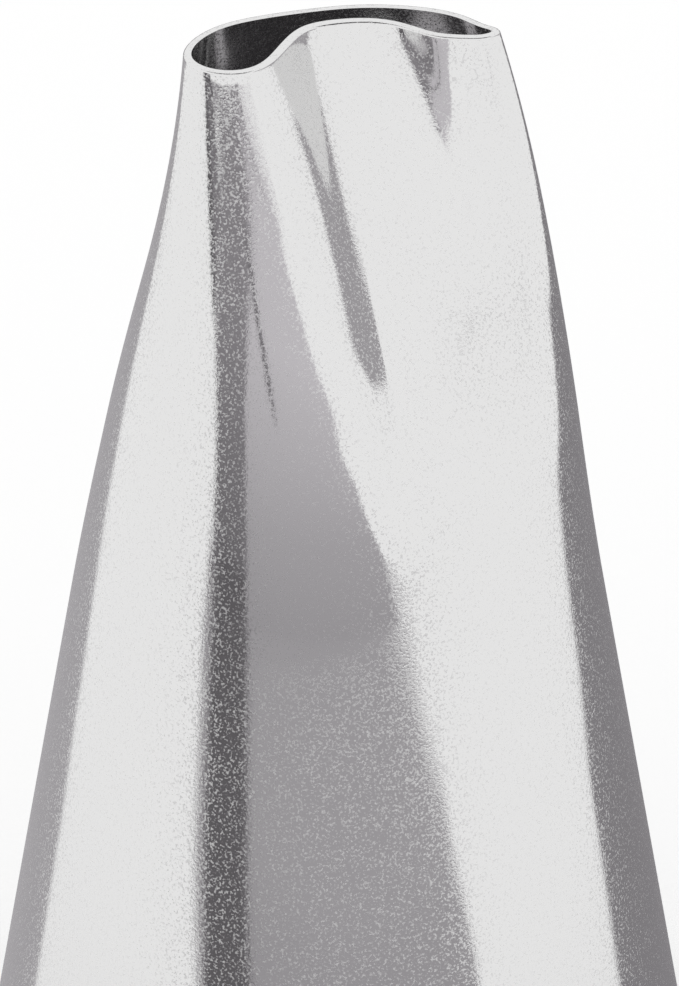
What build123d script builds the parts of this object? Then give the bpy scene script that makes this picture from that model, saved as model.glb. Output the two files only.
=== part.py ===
from build123d import *
from math import acos, atan, cos, hypot, pi, sin, sqrt
import os

# A piping nozzle for pastry bags with a curved petal tip: one seamless sheet of stainless steel, in mm.
# The origin is the centre of the base, on the surface it stands on, with +Z toward the tip.
# +X runs along the slot to its pointed end, and the dished side of the slot faces -Y.

# The cone
height = 55.0
base_diameter = 32.7  # outside, where the cone meets the rolled edge
top_diameter = 14.7  # outside, if the plain cone ran on to the tip's height
wall = 0.36  # thickness of the sheet

# The pressed tip: the clear slot and the length over which the round cone turns into it
slot_length = 13.5
slot_depth = 4.9  # from the belly of the round end to the crown of the back
press_length = 20.0
neck_length = 28.7  # the part below the rim that leans over as the tip is squeezed
neck_lean = 0.48  # how far it leans toward the pointed end, at most
rim_break = 0.085  # the broken outer corner of the cut rim

# The rolled edge round the base
curl_hollow = 0.25  # radius of the space inside the roll
curl_gap = 0.15  # left open between the end of the sheet and the cone
rest_width = 0.5  # flat ring pressed under the roll
curl_bands = 10  # the outside of the roll is drawn as this many narrow bands, and its hollow as half of them

# Proportions
ease_share = 0.4  # part of the pressed length that curves in from the plain cone
valley_reach_share = 0.09  # how much further down the valley is pressed
valley_place_share = 0.75  # where the valley runs, as a share of the way round the sheet
valley_width_share = 0.1  # and how much of the way round it takes up

# The clear slot, anticlockwise from its pointed end: along it in half lengths, across it in half depths,
# and how much of a full turn the same line of metal stands round the cone below.
slot_shares = (
    (1.0, -0.36, 0.0),
    (0.945, -0.155, 0.04),
    (0.827, 0.229, 0.08),
    (0.669, 0.548, 0.122),
    (0.44, 0.792, 0.17),
    (0.153, 0.925, 0.228),
    (-0.179, 0.886, 0.294),
    (-0.499, 0.754, 0.358),
    (-0.767, 0.484, 0.417),
    (-0.935, 0.05, 0.461),
    (-1.0, -0.4, 0.5),
    (-0.939, -0.848, 0.55),
    (-0.786, -1.075, 0.603),
    (-0.622, -0.995, 0.664),
    (-0.484, -0.606, 0.723),
    (-0.357, -0.054, 0.754),
    (-0.197, 0.407, 0.781),
    (0.041, 0.553, 0.807),
    (0.271, 0.479, 0.835),
    (0.459, 0.196, 0.869),
    (0.611, -0.171, 0.909),
    (0.782, -0.37, 0.955),
    (0.94, -0.426, 0.982),
)
section_points = 48
section_levels = 14

# Sizes that follow
taper = (base_diameter - top_diameter) / 2 / height  # radius lost per millimetre of height
slant = sqrt(1 + taper**2)
press_start = height - press_length
neck_start = height - neck_length
curl_radius = curl_hollow + wall
curl_centre_z = sqrt(curl_radius**2 - (rest_width / 2) ** 2)
curl_join_angle = pi + atan(taper)  # where the cone runs into the roll
curl_centre_radius = base_diameter / 2 - curl_hollow * cos(curl_join_angle)
curl_end_angle = 2 * pi + acos((curl_gap - curl_hollow) / curl_radius)
cone_foot_z = curl_centre_z + curl_hollow * sin(curl_join_angle)


def outside_radius(z):
    """Outside radius of the plain cone, carried on to the tip."""
    return base_diameter / 2 - taper * (z - cone_foot_z)


def inside_radius(z):
    return outside_radius(z) - wall * slant


def valley_hump(way_round):
    """One in the middle of the valley, none past its sides, and how fast that changes on the way round."""
    off = (way_round - valley_place_share) / valley_width_share
    if abs(off) > 1 / 2:
        return 0.0, 0.0
    return cos(pi * off) ** 2, -pi * sin(2 * pi * off) / valley_width_share


def pressed_share(z, way_round):
    """How far the metal has gone from cone (0) to slot (1), and how fast that changes on the way round."""
    hump, hump_change = valley_hump(way_round)
    length = press_length * (1 + valley_reach_share * hump)
    rise = max(0.0, 1 - (height - z) / length)
    length_change = press_length * valley_reach_share * hump_change
    rise_change = (height - z) / length**2 * length_change if rise > 0 else 0.0
    if rise < ease_share:
        share, slope = rise**2 / (2 * ease_share), rise / ease_share
    else:
        share, slope = rise - ease_share / 2, 1.0
    return share / (1 - ease_share / 2), slope * rise_change / (1 - ease_share / 2)


def lean(z):
    """Sideways lean of the neck: nothing at its foot and at the rim, the most two thirds of the way up."""
    rise = max(0.0, (z - neck_start) / neck_length)
    return neck_lean * rise**2 * (1 - rise) * 27 / 4


def metal_lines():
    """Evenly spread lines of metal: where each is on the slot, its angle round the cone, how they change.

    The outline is drawn three times over as one rising curve, and the middle turn is the one that is used.
    """
    rise = 3 * slot_length  # the angle is laid out along Z, one full turn in this length
    points = []
    for turn in (0, 1, 2):
        for along, across, angle in slot_shares:
            points.append((along * slot_length / 2, across * slot_depth / 2, (turn + angle) * rise))
    x, y, z = points[0]
    path = Edge.make_spline(points + [(x, y, z + 3 * rise)])
    found = []
    for i in range(section_points):
        share = (1 + i / section_points) / 3
        place, way = path.position_at(share), path.tangent_at(share)
        found.append((place.X, place.Y, 2 * pi * place.Z / rise, way.X, way.Y, 2 * pi * way.Z / rise))
    return found, path.length / 3  # with the length of the whole way round


lines, whole_way = metal_lines()


def inside_points(z):
    """The inner face of the sheet at one height, a blend of the round cone and the slot."""
    radius = inside_radius(z)
    shrink = radius / inside_radius(height)
    points = []
    for i, (slot_x, slot_y, angle, _, _, _) in enumerate(lines):
        share, _ = pressed_share(z, i / section_points)
        x = (1 - share) * radius * cos(angle) + share * shrink * slot_x + lean(z)
        y = (1 - share) * radius * sin(angle) + share * shrink * slot_y
        points.append((x, y))
    return points


def outside_points(z):
    """The outer face at the same height, one wall out, measured square to the sloping sheet."""
    step = wall / 10
    middle, above, below = inside_points(z), inside_points(z + step), inside_points(z - step)
    radius = inside_radius(z)
    shrink = radius / inside_radius(height)
    points = []
    for i, (slot_x, slot_y, angle, way_x, way_y, turning) in enumerate(lines):
        share, change = pressed_share(z, i / section_points)
        run_x = share * shrink * way_x - (1 - share) * radius * turning * sin(angle)
        run_y = share * shrink * way_y + (1 - share) * radius * turning * cos(angle)
        run_x += change / whole_way * (shrink * slot_x - radius * cos(angle))
        run_y += change / whole_way * (shrink * slot_y - radius * sin(angle))
        run = hypot(run_x, run_y)
        out_x, out_y = run_y / run, -run_x / run
        slope = ((above[i][0] - below[i][0]) * out_x + (above[i][1] - below[i][1]) * out_y) / (2 * step)
        thickness = wall * sqrt(1 + slope**2)
        points.append((middle[i][0] + thickness * out_x, middle[i][1] + thickness * out_y))
    return points


def section(points, z):
    steps = [i / section_points for i in range(section_points + 1)]
    return Wire([Edge.make_spline([(x, y, z) for x, y in points], periodic=True, parameters=steps)])


def pressed_tip():
    """The squeezed upper part: an outer loft less an inner one, both starting as true circles."""
    levels = [neck_start + neck_length * i / section_levels for i in range(section_levels + 1)]
    foot = Plane.XY.offset(neck_start)
    outer = [Wire([Edge.make_circle(outside_radius(neck_start), foot)])]
    inner = [Wire([Edge.make_circle(inside_radius(neck_start), foot)])]
    for z in levels[1:]:
        outer.append(section(outside_points(z), z))
        inner.append(section(inside_points(z), z))
    return Solid.make_loft(outer) - Solid.make_loft(inner)


def along_roll(radius, bands):
    """Points at one distance from the middle of the roll, from the cone round to the end of the sheet."""
    points = []
    for i in range(bands + 1):
        turn = curl_join_angle + (curl_end_angle - curl_join_angle) * i / bands
        points.append((curl_centre_radius + radius * cos(turn), curl_centre_z + radius * sin(turn)))
    return points


def cone_and_roll():
    """The plain cone and, turned outward from the same sheet, the rolled edge it stands on."""
    top_outside = (outside_radius(neck_start), neck_start)
    top_inside = (inside_radius(neck_start), neck_start)
    outer_side = [top_outside] + along_roll(curl_hollow, curl_bands // 2)
    inner_side = [top_inside] + along_roll(curl_radius, curl_bands)
    outline = Polyline(outer_side + list(reversed(inner_side)), close=True)
    below = Pos(0, -curl_radius / 2) * Rectangle(base_diameter + 8 * curl_radius, curl_radius)
    profile = make_face(outline) - below
    return revolve(Plane.XZ * profile, Axis.Z)


def nozzle_shell():
    """The whole sheet, with the outer corner of the cut rim taken off."""
    sheet = cone_and_roll() + pressed_tip()
    rim = sheet.faces().sort_by(Axis.Z)[-1]
    return chamfer(rim.outer_wire().edges(), rim_break)


os.makedirs("parts", exist_ok=True)
shell = nozzle_shell()
shell.label = "nozzle_shell"
export_step(shell, "parts/nozzle_shell.step")
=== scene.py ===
from math import acos, atan, cos, pi, radians, sin, sqrt

import bmesh
import bpy
import numpy as np
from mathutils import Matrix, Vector


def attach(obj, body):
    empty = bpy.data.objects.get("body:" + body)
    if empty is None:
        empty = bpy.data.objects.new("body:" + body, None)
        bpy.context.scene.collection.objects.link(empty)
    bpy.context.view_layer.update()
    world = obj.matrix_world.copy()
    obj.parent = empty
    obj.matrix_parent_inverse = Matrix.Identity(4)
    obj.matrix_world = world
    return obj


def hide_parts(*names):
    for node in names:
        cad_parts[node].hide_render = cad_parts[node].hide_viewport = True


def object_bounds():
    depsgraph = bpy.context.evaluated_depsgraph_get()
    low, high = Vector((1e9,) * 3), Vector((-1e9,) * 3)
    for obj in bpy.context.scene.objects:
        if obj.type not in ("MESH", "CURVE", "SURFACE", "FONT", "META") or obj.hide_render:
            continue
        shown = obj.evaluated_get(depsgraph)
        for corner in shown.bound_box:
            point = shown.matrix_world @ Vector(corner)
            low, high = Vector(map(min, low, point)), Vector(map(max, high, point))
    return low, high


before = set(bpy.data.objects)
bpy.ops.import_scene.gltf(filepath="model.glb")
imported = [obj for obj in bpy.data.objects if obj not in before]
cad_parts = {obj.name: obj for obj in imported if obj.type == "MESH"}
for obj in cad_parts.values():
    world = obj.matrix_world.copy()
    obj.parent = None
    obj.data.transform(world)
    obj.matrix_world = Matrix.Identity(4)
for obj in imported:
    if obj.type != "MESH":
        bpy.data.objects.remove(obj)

# A piping nozzle with a curved petal tip, in metres: one seamless sheet of satin stainless steel.
# +Z runs from the base to the tip, +X along the slot to its pointed end, and the dished side faces -Y.

cad_low, cad_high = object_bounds()
MM = 0.001

# Sizes of the sheet
height = cad_high.z
base_diameter = 32.7 * MM
top_diameter = 14.7 * MM
wall = 0.36 * MM
slot_length = 13.5 * MM
slot_depth = 4.9 * MM
press_length = 20.0 * MM
neck_length = 28.7 * MM
neck_lean = 0.48 * MM
rim_break = 0.085 * MM
curl_hollow = 0.25 * MM
curl_gap = 0.15 * MM
rest_width = 0.5 * MM
ease_share = 0.4
valley_reach_share = 0.09
valley_place_share = 0.75
valley_width_share = 0.1
crease = radians(40)  # edges that turn more than this stay sharp, as the inner edge of the rim does

# The clear slot, anticlockwise from its pointed end: along it in half lengths, across it in half depths,
# and how much of a full turn the same line of metal stands round the cone below.
slot_shares = (
    (1.0, -0.36, 0.0),
    (0.945, -0.155, 0.04),
    (0.827, 0.229, 0.08),
    (0.669, 0.548, 0.122),
    (0.44, 0.792, 0.17),
    (0.153, 0.925, 0.228),
    (-0.179, 0.886, 0.294),
    (-0.499, 0.754, 0.358),
    (-0.767, 0.484, 0.417),
    (-0.935, 0.05, 0.461),
    (-1.0, -0.4, 0.5),
    (-0.939, -0.848, 0.55),
    (-0.786, -1.075, 0.603),
    (-0.622, -0.995, 0.664),
    (-0.484, -0.606, 0.723),
    (-0.357, -0.054, 0.754),
    (-0.197, 0.407, 0.781),
    (0.041, 0.553, 0.807),
    (0.271, 0.479, 0.835),
    (0.459, 0.196, 0.869),
    (0.611, -0.171, 0.909),
    (0.782, -0.37, 0.955),
    (0.94, -0.426, 0.982),
)

# How finely the sheet is drawn
lines_around = 288
hollow_rings = 16
plain_rings = 12
neck_rings = 60
corner_rings = 4
roll_rings = 32
way_steps = 20000  # the way round the slot is cut this finely to measure how the lines of metal change

# Sizes that follow
taper = (base_diameter - top_diameter) / 2 / height
slant = sqrt(1 + taper**2)
neck_start = height - neck_length
curl_radius = curl_hollow + wall
curl_centre_z = sqrt(curl_radius**2 - (rest_width / 2) ** 2)
curl_join_angle = pi + atan(taper)
curl_centre_radius = base_diameter / 2 - curl_hollow * cos(curl_join_angle)
curl_end_angle = 2 * pi + acos((curl_gap - curl_hollow) / curl_radius)
cone_foot_z = curl_centre_z + curl_hollow * sin(curl_join_angle)
lean_top = 4 / 27  # the most that the curve of the lean comes to before it is scaled
slope_step = wall / 10  # the slope of the sheet is measured from this far below to this far above

# The finish of the steel
steel_colour = (0.775, 0.773, 0.772, 1)
grain_scale = 8500
grain_detail = 2.0
grain_roughness = 0.6
smooth_grain, rough_grain = 0.5, 0.66  # below the first the metal is polished, above the second it is rough
polished, rough = 0.04, 0.46
drawn_stretch = (8000, 8000, 500)  # the marks of drawing are long up the sheet and narrow round it
drawn_share = 0.4  # how deep these marks are beside the grain
bump_depth = 0.003 * MM


def smooth_loop(rows):
    """A smooth closed curve through the rows, as a function of the length run along it."""
    rows = np.array(rows)
    steps = np.linalg.norm(np.diff(rows, axis=0), axis=1)
    knots = np.concatenate([[0], np.cumsum(steps)])
    count = len(steps)
    values = rows[:-1] - np.outer(knots[:-1] / knots[-1], rows[-1] - rows[0])
    after = np.roll(values, -1, axis=0)
    before_step = np.roll(steps, 1)
    system = np.zeros((count, count))
    for i in range(count):
        system[i, i] = 2 * (before_step[i] + steps[i])
        system[i, i - 1] += before_step[i]
        system[i, (i + 1) % count] += steps[i]
    rises = (after - values) / steps[:, None]
    bends = np.linalg.solve(system, 6 * (rises - np.roll(rises, 1, axis=0)))
    next_bends = np.roll(bends, -1, axis=0)

    def at(lengths):
        lengths = np.mod(lengths, knots[-1])
        k = np.clip(np.searchsorted(knots, lengths, side="right") - 1, 0, count - 1)
        h, a = steps[k][:, None], (knots[k + 1] - lengths)[:, None]
        b = h - a
        bend = (bends[k] * a**3 + next_bends[k] * b**3) / (6 * h)
        from_start = (values[k] / h - bends[k] * h / 6) * a
        from_end = (after[k] / h - next_bends[k] * h / 6) * b
        return bend + from_start + from_end + np.outer(lengths / knots[-1], rows[-1] - rows[0])

    return at, knots[-1]


def metal_lines():
    """Evenly spread lines of metal: place on the slot, angle round the cone, and how these change."""
    rise = 3 * slot_length  # the angle is laid out along a third axis, one full turn in this length
    rows = []
    for along, across, turn in slot_shares:
        rows.append((along * slot_length / 2, across * slot_depth / 2, turn * rise))
    rows.append((rows[0][0], rows[0][1], rise))
    at, whole = smooth_loop(rows)
    lengths = np.linspace(0, whole, lines_around, endpoint=False)
    step = whole / way_steps
    place, way = at(lengths), (at(lengths + step) - at(lengths - step))
    way[:, 2] = np.mod(way[:, 2] + rise / 2, rise) - rise / 2
    way /= 2 * step
    turn, turning = 2 * pi * place[:, 2] / rise, 2 * pi * way[:, 2] / rise
    return place[:, 0], place[:, 1], turn, way[:, 0], way[:, 1], turning, whole


slot_x, slot_y, angle, slot_way_x, slot_way_y, turning, whole_way = metal_lines()


def outside_radius(z):
    """Outside radius of the plain cone, carried on to the tip."""
    return base_diameter / 2 - taper * (z - cone_foot_z)


def inside_radius(z):
    return outside_radius(z) - wall * slant


def pressed_share(z):
    """How far each line of metal has gone from cone to slot, and how fast that changes on the way round.

    The valley is pressed further down than the rest, the most in its middle.
    """
    off = (np.arange(lines_around) / lines_around - valley_place_share) / valley_width_share
    in_valley = np.abs(off) < 0.5
    hump = np.where(in_valley, np.cos(pi * off) ** 2, 0)
    hump_change = np.where(in_valley, -pi * np.sin(2 * pi * off) / valley_width_share, 0)
    length = press_length * (1 + valley_reach_share * hump)
    length_change = press_length * valley_reach_share * hump_change
    rise = np.maximum(0, 1 - (height - z) / length)
    rise_change = np.where(rise > 0, (height - z) / length**2 * length_change, 0)
    easing = rise < ease_share
    share = np.where(easing, rise**2 / (2 * ease_share), rise - ease_share / 2) / (1 - ease_share / 2)
    slope = np.where(easing, rise / ease_share, 1) / (1 - ease_share / 2)
    return share, slope * rise_change


def lean(z):
    """Sideways lean of the neck: nothing at its foot and at the rim, the most two thirds of the way up."""
    rise = max(0.0, (z - neck_start) / neck_length)
    return neck_lean * rise**2 * (1 - rise) / lean_top


def inside_ring(z):
    """The inner face of the sheet at one height, one point for each line of metal."""
    (share, _), radius = pressed_share(z), inside_radius(z)
    shrink = radius / inside_radius(height)
    x = (1 - share) * radius * np.cos(angle) + share * shrink * slot_x + lean(z)
    y = (1 - share) * radius * np.sin(angle) + share * shrink * slot_y
    return x, y


def outside_ring(z, inset=0.0):
    """The outer face at the same height, one wall out, less an inset at the broken corner of the rim."""
    (share, change), radius = pressed_share(z), inside_radius(z)
    shrink = radius / inside_radius(height)
    run_x = share * shrink * slot_way_x - (1 - share) * radius * turning * np.sin(angle)
    run_y = share * shrink * slot_way_y + (1 - share) * radius * turning * np.cos(angle)
    run_x += change / whole_way * (shrink * slot_x - radius * np.cos(angle))
    run_y += change / whole_way * (shrink * slot_y - radius * np.sin(angle))
    run = np.hypot(run_x, run_y)
    out_x, out_y = run_y / run, -run_x / run
    above, below, (x, y) = inside_ring(z + slope_step), inside_ring(z - slope_step), inside_ring(z)
    slope = ((above[0] - below[0]) * out_x + (above[1] - below[1]) * out_y) / (2 * slope_step)
    thickness = wall * np.sqrt(1 + slope**2) - inset
    return x + thickness * out_x, y + thickness * out_y


def roll_ring(radius, turn):
    """A ring of the rolled edge, at one angle round the roll."""
    reach = curl_centre_radius + radius * cos(turn)
    level = max(0.0, curl_centre_z + radius * sin(turn))
    return reach * np.cos(angle), reach * np.sin(angle), level


def sheet_rings():
    """Every ring in order: the hollow of the roll, the outer face, the rim, the inner face and the roll."""
    rings = []
    for i in range(hollow_rings):
        turn = curl_end_angle + (curl_join_angle - curl_end_angle) * i / hollow_rings
        rings.append(roll_ring(curl_hollow, turn))
    plain = [cone_foot_z + (neck_start - cone_foot_z) * i / plain_rings for i in range(plain_rings)]
    neck = [neck_start + (height - rim_break - neck_start) * i / neck_rings for i in range(neck_rings + 1)]
    for z in plain + neck:
        rings.append((*outside_ring(z), z))
    for i in range(1, corner_rings + 1):
        swing = i / corner_rings * pi / 2
        z = height - rim_break * (1 - sin(swing))
        rings.append((*outside_ring(z, rim_break * (1 - cos(swing))), z))
    for z in [height] + list(reversed(neck[:-1])) + list(reversed(plain[1:])):
        rings.append((*inside_ring(z), z))
    for i in range(roll_rings + 1):
        turn = curl_join_angle + (curl_end_angle - curl_join_angle) * i / roll_rings
        rings.append(roll_ring(curl_radius, turn))
    return rings


def make_sheet():
    """The whole sheet, drawn out ring by ring from a circle and closed on itself."""
    bm = bmesh.new()
    line = bm.verts.layers.int.new("line")
    bmesh.ops.create_circle(bm, cap_ends=False, segments=lines_around, radius=base_diameter / 2)
    for i, v in enumerate(bm.verts):
        v[line] = i
    first_edges = edges = list(bm.edges)
    verts = list(bm.verts)
    for number, (x, y, z) in enumerate(sheet_rings()):
        if number:
            made = bmesh.ops.extrude_edge_only(bm, edges=edges)["geom"]
            verts = [g for g in made if isinstance(g, bmesh.types.BMVert)]
            edges = [g for g in made if isinstance(g, bmesh.types.BMEdge)]
        for v in verts:
            i = v[line]
            v.co = (x[i], y[i], z)
        ring = set(verts)
        edges = [e for e in edges if e.verts[0] in ring and e.verts[1] in ring]
    bmesh.ops.bridge_loops(bm, edges=first_edges + edges)
    bmesh.ops.recalc_face_normals(bm, faces=bm.faces)
    mesh = bpy.data.meshes.new("steel_sheet")
    bm.to_mesh(mesh)
    bm.free()
    mesh.shade_smooth()
    mesh.set_sharp_from_angle(angle=crease)
    sheet = bpy.data.objects.new("steel_sheet", mesh)
    bpy.context.scene.collection.objects.link(sheet)
    return sheet


def satin_steel():
    """Stainless steel with the fine rough specks and faint upright marks of drawn and tumbled sheet."""
    material = bpy.data.materials.new("satin_steel")
    material.use_nodes = True
    tree = material.node_tree
    nodes, links = tree.nodes, tree.links
    shader = nodes["Principled BSDF"]
    shader.inputs["Metallic"].default_value = 1.0
    shader.inputs["Base Color"].default_value = steel_colour
    where = nodes.new("ShaderNodeTexCoord")
    grain = nodes.new("ShaderNodeTexNoise")
    grain.inputs["Scale"].default_value = grain_scale
    grain.inputs["Detail"].default_value = grain_detail
    grain.inputs["Roughness"].default_value = grain_roughness
    specks = nodes.new("ShaderNodeMapRange")
    specks.inputs["From Min"].default_value = smooth_grain
    specks.inputs["From Max"].default_value = rough_grain
    specks.inputs["To Min"].default_value = polished
    specks.inputs["To Max"].default_value = rough
    stretch = nodes.new("ShaderNodeMapping")
    stretch.inputs["Scale"].default_value = drawn_stretch
    drawn = nodes.new("ShaderNodeTexNoise")
    drawn.inputs["Scale"].default_value = 1.0
    drawn.inputs["Detail"].default_value = grain_detail
    height_sum = nodes.new("ShaderNodeMath")
    height_sum.operation = "MULTIPLY_ADD"
    height_sum.inputs[1].default_value = drawn_share
    bump = nodes.new("ShaderNodeBump")
    bump.inputs["Strength"].default_value = 1.0
    bump.inputs["Distance"].default_value = bump_depth
    links.new(where.outputs["Object"], grain.inputs["Vector"])
    links.new(where.outputs["Object"], stretch.inputs["Vector"])
    links.new(stretch.outputs["Vector"], drawn.inputs["Vector"])
    links.new(grain.outputs["Fac"], specks.inputs["Value"])
    links.new(specks.outputs["Result"], shader.inputs["Roughness"])
    links.new(drawn.outputs["Fac"], height_sum.inputs[0])
    links.new(grain.outputs["Fac"], height_sum.inputs[2])
    links.new(height_sum.outputs["Value"], bump.inputs["Height"])
    links.new(bump.outputs["Normal"], shader.inputs["Normal"])
    return material


# The photograph's camera
camera_place = Vector((-91.25, -583.0, 372.1)) * MM
camera_way = Vector((0.134, 0.8556, -0.5))
view_turn = radians(8.9)  # the camera stands this far round toward the round end of the slot
sensor = 36.0  # in mm
long_side_pixels, focal_pixels = 986, 15053.76
clip_near, clip_far = 0.05, 20

# The set
# The cards below are painted reflections: glowing sheets that only the metal's reflections see
dark_tint = (1.02, 0.96, 1.03)  # the colour that a card tends to as it gets darker. A light one is white.
climb_start, climb_end = 29 * MM, 47 * MM  # between these heights a card may go from one grey to another
floor_half = 3.0
floor_paint = (0.65, 0.65, 0.65, 1)
floor_lift = 0.35  # added where the camera or the metal sees the floor, so that it reads as white


def make_camera():
    data = bpy.data.cameras.new("photo_camera")
    data.sensor_width = sensor
    data.lens = focal_pixels * sensor / long_side_pixels
    data.clip_start, data.clip_end = clip_near, clip_far
    camera = bpy.data.objects.new("photo_camera", data)
    camera.location = camera_place
    camera.rotation_mode = "QUATERNION"
    camera.rotation_quaternion = camera_way.to_track_quat("-Z", "Y")
    bpy.context.scene.collection.objects.link(camera)
    bpy.context.scene.camera = camera


def glow(name, grey, top_grey=None):
    """The glow of a painted reflection: an even grey, faintly purple where it is dark, or one that rises
    from the card's foot to its top.
    """
    material = bpy.data.materials.new(name)
    material.use_nodes = True
    nodes, links = material.node_tree.nodes, material.node_tree.links
    nodes.clear()
    out, light = nodes.new("ShaderNodeOutputMaterial"), nodes.new("ShaderNodeEmission")
    light.inputs["Color"].default_value = (*[tint + (1 - tint) * grey for tint in dark_tint], 1)
    light.inputs["Strength"].default_value = grey
    links.new(light.outputs["Emission"], out.inputs["Surface"])
    if top_grey:
        where, split = nodes.new("ShaderNodeTexCoord"), nodes.new("ShaderNodeSeparateXYZ")
        climb = nodes.new("ShaderNodeMapRange")
        climb.inputs["From Min"].default_value = climb_start
        climb.inputs["From Max"].default_value = climb_end
        climb.inputs["To Min"].default_value = grey
        climb.inputs["To Max"].default_value = top_grey
        links.new(where.outputs["Object"], split.inputs["Vector"])
        links.new(split.outputs["Z"], climb.inputs["Value"])
        links.new(climb.outputs["Result"], light.inputs["Strength"])
    return material


def card(name, corners, grey, top_grey=None):
    """A glowing card that only the metal's reflections see, a painted reflection. Corners in metres, in the
    part's own frame.
    """
    bm = bmesh.new()
    bm.faces.new([bm.verts.new(corner) for corner in corners])
    bmesh.ops.triangulate(bm, faces=bm.faces)
    mesh = bpy.data.meshes.new(name)
    bm.to_mesh(mesh)
    bm.free()
    mesh.materials.append(glow(name, grey, top_grey))
    obj = bpy.data.objects.new(name, mesh)
    bpy.context.scene.collection.objects.link(obj)
    obj.visible_camera = False
    obj.visible_diffuse = False
    obj.visible_shadow = False
    obj.visible_transmission = False


def floor_card(name, corners, grey, level=0.1):
    """A card on the table. Corners in mm as the camera sees the table: to its right and away from it."""
    c, s = cos(view_turn), sin(view_turn)
    card(name, [((c * x + s * y) * MM, (c * y - s * x) * MM, level * MM) for x, y in corners], grey)


def standing_card(name, corners, grey, distance):
    """A card round the set, this many mm off. Corners in degrees right of the camera's side and up."""
    places = []
    for right, up in corners:
        turn = radians(right) - view_turn
        reach = distance * MM * cos(radians(up))
        level = height / 2 + distance * MM * sin(radians(up))
        places.append((reach * sin(turn), -reach * cos(turn), level))
    card(name, places, grey)


def near_card(name, corners, grey, away, top_grey=None):
    """An upright card close by. Corners in mm as the camera sees them: to its right and up."""
    c, s = cos(view_turn), sin(view_turn)
    places = [((c * x + s * away) * MM, (c * away - s * x) * MM, z * MM) for x, z in corners]
    card(name, places, grey, top_grey)


def high_card(name, half, level, grey):
    """A square card overhead, in mm."""
    corners = [(-half, -half), (half, -half), (half, half), (-half, half)]
    card(name, [(x * MM, y * MM, level * MM) for x, y in corners], grey)


def make_floor():
    """A white table that still takes the nozzle's soft shadow."""
    bm = bmesh.new()
    bmesh.ops.create_grid(bm, x_segments=1, y_segments=1, size=floor_half)
    mesh = bpy.data.meshes.new("floor")
    bm.to_mesh(mesh)
    bm.free()
    floor = bpy.data.objects.new("floor", mesh)
    bpy.context.scene.collection.objects.link(floor)
    material = bpy.data.materials.new("white_table")
    material.use_nodes = True
    nodes, links = material.node_tree.nodes, material.node_tree.links
    nodes.clear()
    out, add = nodes.new("ShaderNodeOutputMaterial"), nodes.new("ShaderNodeAddShader")
    paint, lift = nodes.new("ShaderNodeBsdfDiffuse"), nodes.new("ShaderNodeEmission")
    path = nodes.new("ShaderNodeLightPath")
    amount = nodes.new("ShaderNodeMath")
    amount.operation = "MULTIPLY"
    amount.inputs[1].default_value = floor_lift
    paint.inputs["Color"].default_value = floor_paint
    either = nodes.new("ShaderNodeMath")
    either.operation = "MAXIMUM"
    links.new(path.outputs["Is Camera Ray"], either.inputs[0])
    links.new(path.outputs["Is Glossy Ray"], either.inputs[1])
    links.new(either.outputs["Value"], amount.inputs[0])
    links.new(amount.outputs["Value"], lift.inputs["Strength"])
    links.new(paint.outputs["BSDF"], add.inputs[0])
    links.new(lift.outputs["Emission"], add.inputs[1])
    links.new(add.outputs["Shader"], out.inputs["Surface"])
    mesh.materials.append(material)


def light_world():
    """Even white light from all round."""
    world = bpy.data.worlds.new("studio")
    bpy.context.scene.world = world
    world.use_nodes = True
    background = world.node_tree.nodes["Background"]
    background.inputs["Color"].default_value = (1, 1, 1, 1)
    background.inputs["Strength"].default_value = 1.0


sheet = make_sheet()
sheet.data.materials.append(satin_steel())
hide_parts("nozzle_shell")
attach(sheet, "root")

make_camera()
make_floor()
light_world()
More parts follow.
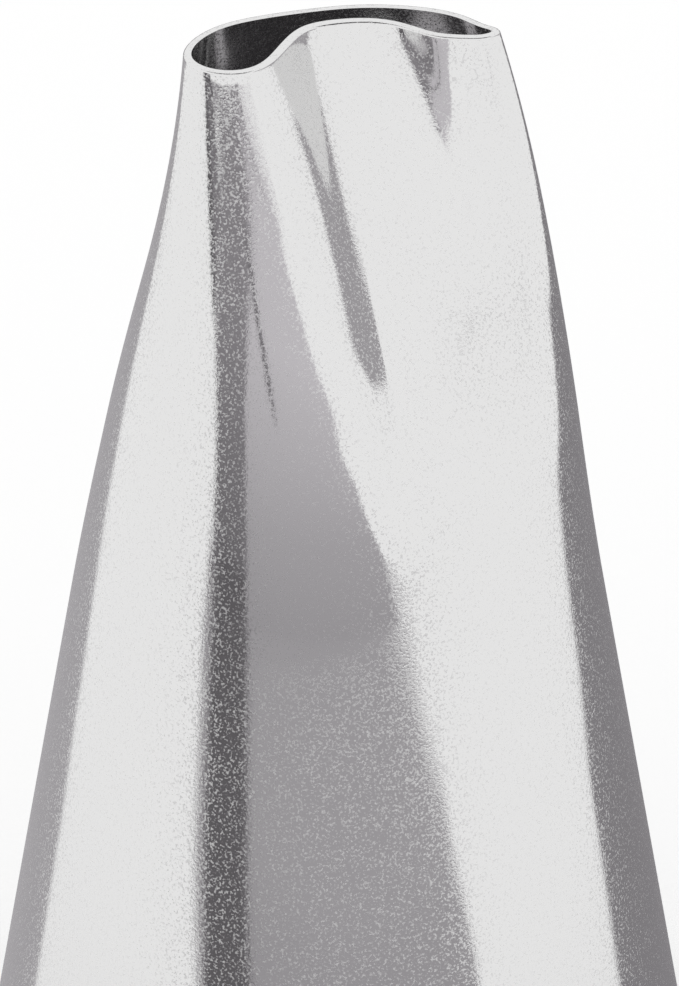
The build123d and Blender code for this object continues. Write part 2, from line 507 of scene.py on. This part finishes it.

# Painted reflections on the table, which the steel mirrors: its grey part, the shade on either side and a
# dark strip across it
floor_card("grey_table", (
    (-20, -28), (0, -20), (20, -26), (45, -45), (65, -80), (67, -120), (50, -190), (-100, -260),
    (-190, -190), (-160, -90), (-45, -45)), grey=0.4)
floor_card("grey_table_near", (
    (-20, -28), (0, -20), (20, -26), (45, -45), (55, -60), (30, -75), (-20, -80), (-50, -75),
    (-45, -45)), grey=0.37, level=0.2)
floor_card("shade_left", (
    (-14, -8), (-45, 20), (-65, 45), (-75, 75), (-85, 88), (-110, 75), (-150, 95), (-700, 310),
    (-700, 700), (-14, 700)), grey=0.42)
floor_card("shade_right", (
    (14, -10), (35, 2), (60, 15), (75, 32), (90, 56), (108, 90), (145, 112), (220, 180), (700, 500),
    (700, 700), (14, 700)), grey=0.25)
floor_card("dark_strip", (
    (-16, -26), (-45, -48), (-80, -66), (-120, -85), (-160, -92), (-1300, -650), (-1300, -1250),
    (-500, -470), (-160, -165), (-100, -125), (-60, -90), (-30, -58), (-12, -40)), grey=0.13, level=0.3)

# Painted reflection of the table inside the open base, grey on the left and in painted shade on the right,
# which the inner face mirrors
floor_card("inside_left", ((-15, -9), (-7, -14), (-7, 14), (-15, 9)), grey=0.45, level=0.3)
floor_card("inside_right", (
    (-7, -14), (7, -14), (15, -6), (15, 6), (7, 14), (-7, 14)), grey=0.03, level=0.3)

# Painted reflections close in front of the tip, for the grey of its middle, a thin dark line, the dark band
# and the light
near_card("grey_near", (
    (-12, 28), (-15, 34), (-16.5, 41.5), (-14.5, 46), (-8, 50), (-4.5, 51.7), (2, 53.2), (18, 54.5),
    (2, 52.8), (-0.7, 51.5), (-1, 49), (1, 41), (7, 29)), grey=0.38, away=-20, top_grey=0.62)
near_card("dark_line", (
    (-11, 49), (-11.3, 47.5), (-10.4, 44), (-8.7, 41), (-9.4, 44), (-10.3, 47.5),
    (-10, 49)), grey=0.2, away=-19.9)
near_card("dark_band", (
    (-26, 30), (-29, 36), (-33, 43), (-28, 46), (-21.5, 47.5), (-15, 50), (1, 53.7), (-4, 50.5),
    (-12, 42), (-12, 36), (-10, 30)), grey=0.17, away=-21, top_grey=0.27)
near_card("light_front", (
    (2, 41), (0, 47), (0, 51), (4, 53), (12, 54.5), (16, 50), (16, 41)), grey=1.0, away=-18)

# Painted reflections far off: the dark streak in the valley with the light in it, and the dark behind and
# above
standing_card("dark_right", (
    (120, -5.5), (114, -5), (106, 0), (101, 1.5), (90, 13), (84, 18.5), (61, 31), (62, 40), (90, 40),
    (125, 15), (135, 0)), grey=0.4, distance=2500)
standing_card("light_gap", (
    (121, -5), (116, 0), (112, 3.5), (107.5, 6), (106, 5.5), (110, 2.5), (115, -2),
    (119, -5)), grey=0.8, distance=2450)
standing_card("dark_back", ((125, -2), (160, 14), (200, 14), (235, -2)), grey=0.12, distance=2500)
high_card("dark_roof", half=800, level=2000, grey=0.1)

scene = bpy.context.scene
scene.view_settings.view_transform = "Standard"
